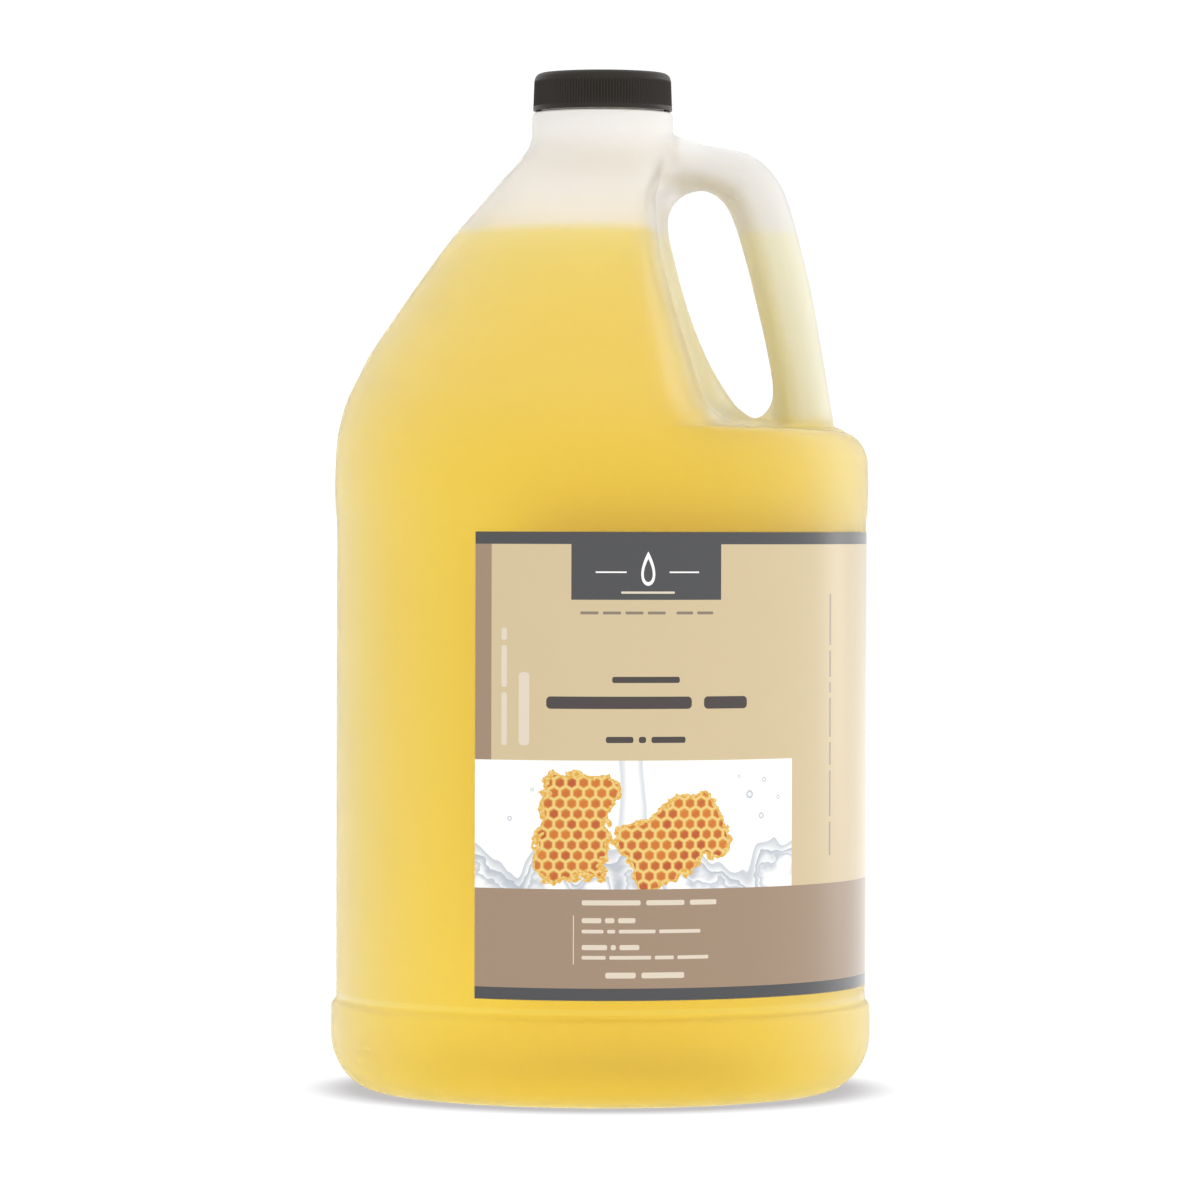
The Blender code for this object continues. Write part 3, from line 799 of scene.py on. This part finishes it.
def cap_material():
    """Black moulded plastic, satin on the skirt and finely matt on the top, paler along its convex edges."""
    material, shader = new_material("cap_black", CAP_DARK, SKIRT_ROUGHNESS, {"Specular IOR Level": CAP_SHINE})
    tree = material.node_tree
    place = object_place(tree)
    z = axes_of(place)[2]
    cloud = noise(tree, place, 60.0, 3.0)
    # Paler where the surface is sharply convex, found by pointiness: blended half way to a lighter grey
    edge = Value(tree, tree.nodes.new("ShaderNodeNewGeometry").outputs["Pointiness"]).ramp(0.54, 0.62)
    color = blend_colors(tree, cloud, CAP_DARK, CAP_PALE)
    feed(shader.inputs["Base Color"], blend_colors(tree, edge * 0.5, color, CAP_EDGE_PALE))
    top = z.ramp_mm((CAP_TOP_Z - 0.4, CAP_TOP_Z - 0.05))
    feed(shader.inputs["Roughness"], cloud * 0.1 + top * TOP_EXTRA_ROUGHNESS + SKIRT_ROUGHNESS)
    add_bump(tree, shader, noise(tree, place, 1800.0, 2.0) * (top * 0.8 + 0.2), 0.04 * MM)
    return material


def liner_material():
    """White foam with fine closed cells."""
    material, shader = new_material("liner_foam", (0.86, 0.86, 0.84), 0.75)
    tree = material.node_tree
    place = object_place(tree)
    cells = tree.nodes.new("ShaderNodeTexVoronoi")
    cells.inputs["Scale"].default_value = 2500.0
    feed(cells.inputs["Vector"], place)
    depth = Value(tree, cells.outputs["Distance"])
    feed(shader.inputs["Base Color"], blend_colors(tree, depth, (0.80, 0.80, 0.78), (0.90, 0.90, 0.88)))
    add_bump(tree, shader, depth, 0.06 * MM)
    return material


# Print colours
PAPER = (0.572, 0.459, 0.271)
STRIP = (0.301, 0.204, 0.13)
BAND = (0.305, 0.209, 0.134)
SLATE = (0.0417, 0.0425, 0.0459)
INK = (0.0376, 0.0275, 0.0234)
PALE_INK = (0.667, 0.584, 0.468)
SOFT_INK = (0.209, 0.167, 0.116)
GREY_INK = (0.334, 0.275, 0.209)
WHITE_INK = (0.902, 0.902, 0.893)
CELL_DEEP, CELL_LIGHT = (0.42, 0.06, 0.001), (0.58, 0.16, 0.003)
CELL_RIM, WAX = (0.66, 0.34, 0.025), (0.74, 0.53, 0.17)
MILK_SHADE = (0.425, 0.459, 0.51)
PRINT_ROUGHNESS, PRINT_SHINE, PRINT_COAT_ROUGHNESS = 0.33, 0.1, 0.25

# Print layout, from the film's left end and lower edge; rectangles are left, bottom, right, top
BAR_HEIGHT = 3.4
BAND_TOP, PICTURE_TOP, PICTURE_END = 30.7, 66.1, 94.8
STRIP_END = 5.0
BOX = (27.8, 110.3, 70.2, LABEL_HEIGHT)
CENTRE = 49.0
RULE = (28.5, 10.0, 28.75, 23.5)
BAR_CORNER = 0.35
# The drop in the box, as lower end, height, half width: outside and inside; the rules beside and below it
DROP, DROP_INSIDE = (114.2, 9.4, 3.9), (115.2, 6.4, 2.5)
SIDE_RULES = [(34.5, 117.7, 43.0, 118.1), (55.0, 117.7, 63.5, 118.1)]
LOWER_RULE = (41.5, 112.0, 56.5, 112.6, 0.25)
# Lines that stand in for text: start, middle height, bar height, word lengths, gap, colour
LINES = [
    (30.3, 106.7, 0.8, (5.0, 5.0, 5.0, 5.0), 1.2, SOFT_INK),
    (57.0, 106.7, 0.8, (4.8, 4.8), 1.2, SOFT_INK),
    (39.1, 88.3, 1.7, (18.9,), 1.0, INK),
    (20.9, 82.0, 3.4, (40.6, 13.4), 3.6, INK),
    (37.4, 71.8, 1.7, (7.6, 2.0, 9.7), 1.5, INK),
    (30.9, 27.0, 1.4, (16.2, 10.8, 7.9), 1.6, PALE_INK),
    (30.9, 22.1, 1.4, (5.4, 2.6, 4.8), 1.0, PALE_INK),
    (30.9, 19.1, 1.0, (6.0, 2.2, 10.2, 11.9), 1.0, PALE_INK),
    (30.9, 14.7, 1.4, (7.0, 1.4, 5.5), 1.0, PALE_INK),
    (30.9, 11.9, 1.0, (6.6, 11.6, 5.4, 9.1), 1.0, PALE_INK),
    (37.4, 7.0, 1.6, (8.4, 12.1), 1.6, PALE_INK),
]
# The same for lines that read upwards: middle, start height, bar width, word lengths, gap, colour
UPWARD_LINES = [
    (8.8, 70.2, 1.6, (14.5, 11.5, 3.3), 1.5, PALE_INK),
    (14.6, 70.2, 3.0, (20.1,), 1.0, PALE_INK),
    (112.4, 38.4, 1.0, (9.5, 13.0, 6.5, 11.0, 3.0, 7.5, 14.5), 1.4, GREY_INK),
]
SMALL_PRINT = (176.0, 44.0, 252.0, 104.0)
SMALL_PITCH, SMALL_BAR, SMALL_WORD, SMALL_GAPS = 3.4, 1.1, 1.25, 0.2
CELL_PITCH, COMB_CORNER, COMB_EDGE = 3.3, 4.0, 1.3
# Pieces of honeycomb: middle, half size, turn in degrees
COMBS = [((28.5, 48.0), (10.5, 14.5), 9.0), ((57.0, 45.0), (15.5, 10.0), -24.0)]
# Poured milk: its mean level and the height of its waves; each crest's drop below the first, and its shade
MILK_LEVEL, MILK_WAVE = BAND_TOP + 10.0, 34.0
CRESTS = ((0.0, 0.7), (3.4, 0.9), (7.0, 0.75))
STREAM_U = 44.5
# Splashed drops of milk: place along, height, radius
DROPLETS = [
    (79.5, 56.5, 1.3), (84.5, 60.5, 0.8), (83.5, 50.5, 1.0), (89.5, 55.5, 0.7), (76.0, 61.5, 0.55),
    (10.5, 50.0, 0.8), (17.0, 58.0, 0.6),
]


def box_mask(place, low_u, low_v, high_u, high_v, corner=0.02):
    """Return 1 inside a rectangle with rounded corners."""
    middle = ((low_u + high_u) / 2.0, (low_v + high_v) / 2.0, 0.0)
    half = ((high_u - low_u) / 2.0 - corner, (high_v - low_v) / 2.0 - corner, 0.0)
    outside = place.vector("SUBTRACT", middle).vector("ABSOLUTE").vector("SUBTRACT", half)
    return outside.vector("MAXIMUM", (0.0, 0.0, 0.0)).length().below(corner)


def drop_mask(u, v, bottom, height, width):
    """Return 1 inside a pointed drop that stands on its round end."""
    up = (v - bottom).over(height).math("MAXIMUM", 0.0).math("MINIMUM", 1.0)
    reach = up.math("POWER", 0.5) * ((up * -1.0) + 1.0) * (width * 1.3)
    return (u - CENTRE).math("ABSOLUTE").math("SUBTRACT", reach).below(0.0)


def comb_cells(tree, place):
    """Return a point's distance from its hexagonal cell's middle, the cell's own number, and a glint."""
    period = (CELL_PITCH, CELL_PITCH * math.sqrt(3.0), 1.0)
    half = tuple(side / 2.0 for side in period)
    offsets = []
    for shift in ((0.0, 0.0, 0.0), half):
        moved = place.vector("ADD", shift)
        cell = moved.vector("DIVIDE", period).vector("FLOOR").vector("MULTIPLY", period)
        offset = moved.vector("SUBTRACT", cell).vector("SUBTRACT", half)
        offsets.append(offset.vector("MULTIPLY", (1.0, 1.0, 0.0)))
    nearer = offsets[0].length().math("LESS_THAN", offsets[1].length())
    pick = tree.nodes.new("ShaderNodeMix")
    pick.data_type = "VECTOR"
    feed(pick.inputs[0], nearer)
    feed(pick.inputs[4], offsets[1])
    feed(pick.inputs[5], offsets[0])
    offset = Value(tree, pick.outputs[1])
    across, up, _ = axes_of(offset.vector("ABSOLUTE"))
    slanted = across * 0.5 + up * (math.sqrt(3.0) / 2.0)
    distance = across.math("MAXIMUM", slanted).over(CELL_PITCH / 2.0)
    own = tree.nodes.new("ShaderNodeTexWhiteNoise")
    middle = place.vector("SUBTRACT", offset).vector("SNAP", (0.5, 0.5, 1.0))
    feed(own.inputs["Vector"], middle)
    right, upper, _ = axes_of(offset)
    glint = (upper * 0.8 - right * 0.5).over(CELL_PITCH / 2.0).ramp(0.15, 0.75)
    return distance, Value(tree, own.outputs["Value"]), glint


def comb_reach(tree, place, middle, half, turn):
    """Return how far a point lies inside the ragged edge of a torn piece of honeycomb."""
    rotate = tree.nodes.new("ShaderNodeVectorRotate")
    rotate.rotation_type = "Z_AXIS"
    rotate.inputs["Angle"].default_value = math.radians(turn)
    rotate.inputs["Center"].default_value = (*middle, 0.0)
    feed(rotate.inputs["Vector"], place)
    turned = Value(tree, rotate.outputs[0])
    inner = tuple(side - COMB_CORNER for side in half) + (0.0,)
    outside = turned.vector("SUBTRACT", (*middle, 0.0)).vector("ABSOLUTE").vector("SUBTRACT", inner)
    reach = outside.vector("MAXIMUM", (0.0, 0.0, 0.0)).length()
    ragged = (noise(tree, place, 0.45, 3.0) - 0.5) * 5.0 + (noise(tree, place, 0.11, 1.0) - 0.5) * 9.0
    return (reach + ragged) * -1.0 + COMB_CORNER


def label_print():
    """Printed film: colour bands, a honeycomb picture, a plain drop and plain bars where the words were."""
    material, shader = new_material("label_print", PAPER, PRINT_ROUGHNESS, {
        "Specular IOR Level": PRINT_SHINE, "Coat Weight": 1.0, "Coat IOR": COAT_IOR,
        "Coat Roughness": PRINT_COAT_ROUGHNESS})
    tree = material.node_tree
    attribute = tree.nodes.new("ShaderNodeAttribute")
    attribute.attribute_name = PRINT_PLACE
    place = Value(tree, attribute.outputs["Vector"])
    u, v, _ = axes_of(place)
    color = blend_colors(tree, noise(tree, place, 0.08), tuple(0.985 * part for part in PAPER),
                         tuple(1.015 * part for part in PAPER))

    def paint(mask, ink):
        nonlocal color
        color = blend_colors(tree, mask, color, ink)

    paint(box_mask(place, -1.0, PICTURE_TOP, STRIP_END, LABEL_HEIGHT), STRIP)
    paint(v.below(BAND_TOP), BAND)
    paint_picture(tree, place, u, v, paint)
    paint(v.below(BAR_HEIGHT), SLATE)
    paint(v.above(LABEL_HEIGHT - BAR_HEIGHT), SLATE)
    paint(box_mask(place, *BOX), SLATE)
    paint(drop_mask(u, v, *DROP) * (drop_mask(u, v, *DROP_INSIDE) * -1.0 + 1.0), WHITE_INK)
    for rule in SIDE_RULES:
        paint(box_mask(place, *rule), WHITE_INK)
    paint(box_mask(place, *LOWER_RULE), PALE_INK)
    paint(box_mask(place, *RULE), PALE_INK)
    for start, middle, size, words, gap, ink in LINES:
        low, high = middle - size / 2.0, middle + size / 2.0
        for word in words:
            paint(box_mask(place, start, low, start + word, high, size * BAR_CORNER), ink)
            start += word + gap
    for middle, start, size, words, gap, ink in UPWARD_LINES:
        left, right = middle - size / 2.0, middle + size / 2.0
        for word in words:
            paint(box_mask(place, left, start, right, start + word, size * BAR_CORNER), ink)
            start += word + gap
    paint(small_print(tree, place, u, v), GREY_INK)
    feed(shader.inputs["Base Color"], color)
    add_bump(tree, shader, noise(tree, place, 1.2, 3.0), 0.02 * MM)
    return material


def paint_picture(tree, place, u, v, paint):
    """Print a white panel with poured milk and two pieces of honeycomb."""
    panel = box_mask(place, -1.0, BAND_TOP, PICTURE_END, PICTURE_TOP)
    paint(panel, WHITE_INK)
    wave = (noise(tree, place.vector("MULTIPLY", (1.0, 0.45, 1.0)), 0.095, 1.0) - 0.5) * MILK_WAVE
    level = v - wave - MILK_LEVEL
    folds = noise(tree, place.vector("MULTIPLY", (1.0, 1.6, 1.0)), 0.14, 2.0)
    for drop, share in CRESTS:
        crest = level + (folds - 0.5) * (drop * 2.4) + drop
        paint(panel * crest.ramp(0.15, -0.15) * (crest.ramp(-4.6, 0.0) * share + 0.1), MILK_SHADE)
        paint(panel * crest.ramp(-3.6, -6.4) * 0.8, WHITE_INK)
    stream = (u + wave * 0.12 - STREAM_U).math("ABSOLUTE")
    falling = stream.ramp(4.2, 3.4) * stream.ramp(1.0, 3.4) * level.above(0.0)
    paint(panel * falling * 0.6, MILK_SHADE)
    for middle_u, middle_v, size in DROPLETS:
        distance = place.vector("SUBTRACT", (middle_u, middle_v, 0.0)).length()
        paint(distance.ramp(size, size * 0.75) * distance.ramp(size * 0.1, size * 0.8), MILK_SHADE)
    distance, own, glint = comb_cells(tree, place)
    cell = blend_colors(tree, own, CELL_DEEP, CELL_LIGHT)
    cell = blend_colors(tree, glint * 0.3, cell, CELL_RIM)
    cell = blend_colors(tree, distance.ramp(0.5, 0.86), cell, CELL_RIM)
    comb = blend_colors(tree, distance.ramp(0.76, 0.84), cell, WAX)
    crumbs = blend_colors(tree, noise(tree, place, 1.1, 2.0).ramp(0.42, 0.6), CELL_RIM, WAX)
    for piece in COMBS:
        reach = comb_reach(tree, place, *piece)
        paint(reach.above(0.0) * panel, crumbs)
        paint(reach.above(COMB_EDGE) * panel, comb)


def small_print(tree, place, u, v):
    """Return 1 on rows of short bars that stand in for the small print on the back."""
    row = v.over(SMALL_PITCH).math("FLOOR")
    across = u.over(SMALL_WORD).math("FLOOR")
    seed = tree.nodes.new("ShaderNodeCombineXYZ")
    feed(seed.inputs[0], across)
    feed(seed.inputs[1], row)
    own = tree.nodes.new("ShaderNodeTexWhiteNoise")
    feed(own.inputs["Vector"], Value(tree, seed.outputs[0]))
    word = Value(tree, own.outputs["Value"]).above(SMALL_GAPS)
    line = (v - row * SMALL_PITCH).below(SMALL_BAR)
    return box_mask(place, *SMALL_PRINT) * word * line


def label_back():
    """The film's unprinted side and cut edges: white paper with a little fibre."""
    material, shader = new_material("label_back", (0.86, 0.85, 0.82), 0.7)
    tree = material.node_tree
    place = object_place(tree)
    fibre = noise(tree, place.vector("MULTIPLY", (1.0, 1.0, 0.3)), 900.0, 3.0)
    feed(shader.inputs["Base Color"], blend_colors(tree, fibre, (0.82, 0.81, 0.77), (0.90, 0.89, 0.86)))
    add_bump(tree, shader, fibre, 0.02 * MM)
    return material


# Camera, in metres and degrees
CAMERA_PLACE = (-0.0004, -1.83, 0.163)
CAMERA_DIP, CAMERA_ROLL = 0.72, 0.15
CAMERA_LENS, CAMERA_SENSOR = 191.6, 36.0


def make_camera():
    """Look at the front of the jug from far away, as the photograph does."""
    camera = bpy.data.objects.new("camera", bpy.data.cameras.new("camera"))
    bpy.context.scene.collection.objects.link(camera)
    camera.data.lens = CAMERA_LENS
    camera.data.sensor_width = CAMERA_SENSOR
    camera.data.clip_end = 50.0
    camera.location = CAMERA_PLACE
    camera.rotation_euler = (math.radians(90.0 - CAMERA_DIP), 0.0, 0.0)
    camera.rotation_euler.rotate_axis("Z", math.radians(CAMERA_ROLL))
    bpy.context.scene.camera = camera


# Floor, in metres; a camera ray sees plain white with a grey contact shadow where something is near
FLOOR_HALF = 6.0
FLOOR_GREY, FLOOR_GLOW, FLOOR_WHITE = 0.35, 0.75, 1.04
SHADOW_REACH, SHADOW_GREY, SHADOW_SAMPLES = 0.016, (0.55, 0.53, 0.53), 16


def make_floor():
    """Lay a plain white floor with a soft neutral contact shadow."""
    mesh = bpy.data.meshes.new("floor")
    corners = [(FLOOR_HALF * x, FLOOR_HALF * y, 0.0) for x, y in ((-1, -1), (1, -1), (1, 1), (-1, 1))]
    mesh.from_pydata(corners, [], [(0, 1, 2, 3)])
    floor = bpy.data.objects.new("floor", mesh)
    bpy.context.scene.collection.objects.link(floor)
    material, shader = new_material("floor_white", (FLOOR_GREY,) * 3, 0.6, {
        "Emission Color": (1.0, 1.0, 1.0, 1.0), "Emission Strength": FLOOR_GLOW})
    tree = material.node_tree
    corner = tree.nodes.new("ShaderNodeAmbientOcclusion")
    corner.samples = SHADOW_SAMPLES
    corner.inputs["Distance"].default_value = SHADOW_REACH
    shade = Value(tree, corner.outputs["AO"]).ramp(0.2, 0.99)
    seen = tree.nodes.new("ShaderNodeEmission")
    feed(seen.inputs["Color"], blend_colors(tree, shade, SHADOW_GREY, (FLOOR_WHITE,) * 3))
    path = tree.nodes.new("ShaderNodeLightPath")
    mix = tree.nodes.new("ShaderNodeMixShader")
    tree.links.new(path.outputs["Is Camera Ray"], mix.inputs[0])
    tree.links.new(shader.outputs[0], mix.inputs[1])
    tree.links.new(seen.outputs[0], mix.inputs[2])
    tree.links.new(mix.outputs[0], tree.nodes["Material Output"].inputs["Surface"])
    mesh.materials.append(material)


# Light: the studio's strength from behind, what each other side adds to it as (axis, direction, strength),
# and the plain white that the camera sees; a large soft lamp stands behind the jug on the right
BACK_LIGHT = 0.885
SIDE_LIGHTS = [(0, 1.0, 0.52), (0, -1.0, 0.08), (1, -1.0, 0.36), (2, 1.0, 0.25)]
BACKDROP = 1.05
LAMP_WIDTH, LAMP_HEIGHT, LAMP_POWER = 0.5, 1.3, 2.2
LAMP_PLACE, LAMP_TARGET = (1.45, 0.8, 0.35), (0.0, 0.0, 0.15)
LIGHT_BOUNCES = 24


def make_light():
    """Surround the jug with soft white light and add one large lamp."""
    scene = bpy.context.scene
    world = bpy.data.worlds.new("studio")
    scene.world = world
    world.use_nodes = True
    tree = world.node_tree
    background = tree.nodes["Background"]
    background.inputs["Color"].default_value = (1.0, 1.0, 1.0, 1.0)
    direction = axes_of(Value(tree, tree.nodes.new("ShaderNodeTexCoord").outputs["Generated"]))
    strength = BACK_LIGHT
    for axis, sign, extra in SIDE_LIGHTS:
        facing = (direction[axis] * sign).math("MAXIMUM", 0.0)
        strength = facing.math("POWER", 2.0) * extra + strength
    path = tree.nodes.new("ShaderNodeLightPath")
    seen = tree.nodes.new("ShaderNodeMix")
    feed(seen.inputs[0], Value(tree, path.outputs["Is Camera Ray"]))
    feed(seen.inputs[2], strength)
    feed(seen.inputs[3], BACKDROP)
    feed(background.inputs["Strength"], Value(tree, seen.outputs[0]))
    lamp = bpy.data.lights.new("key", "AREA")
    lamp.shape = "RECTANGLE"
    lamp.size = LAMP_WIDTH
    lamp.size_y = LAMP_HEIGHT
    lamp.energy = LAMP_POWER
    key = bpy.data.objects.new("key", lamp)
    key.location = LAMP_PLACE
    key.rotation_euler = (Vector(LAMP_TARGET) - key.location).to_track_quat("-Z", "Y").to_euler()
    scene.collection.objects.link(key)
    scene.view_settings.view_transform = "Standard"
    scene.cycles.use_denoising = True
    scene.cycles.max_bounces = LIGHT_BOUNCES
    scene.cycles.transmission_bounces = LIGHT_BOUNCES


make_jug(jug_material())
make_oil(oil_material())
make_cap(cap_material())
make_liner(liner_material())
make_label(label_print(), label_back())
make_camera()
make_floor()
make_light()
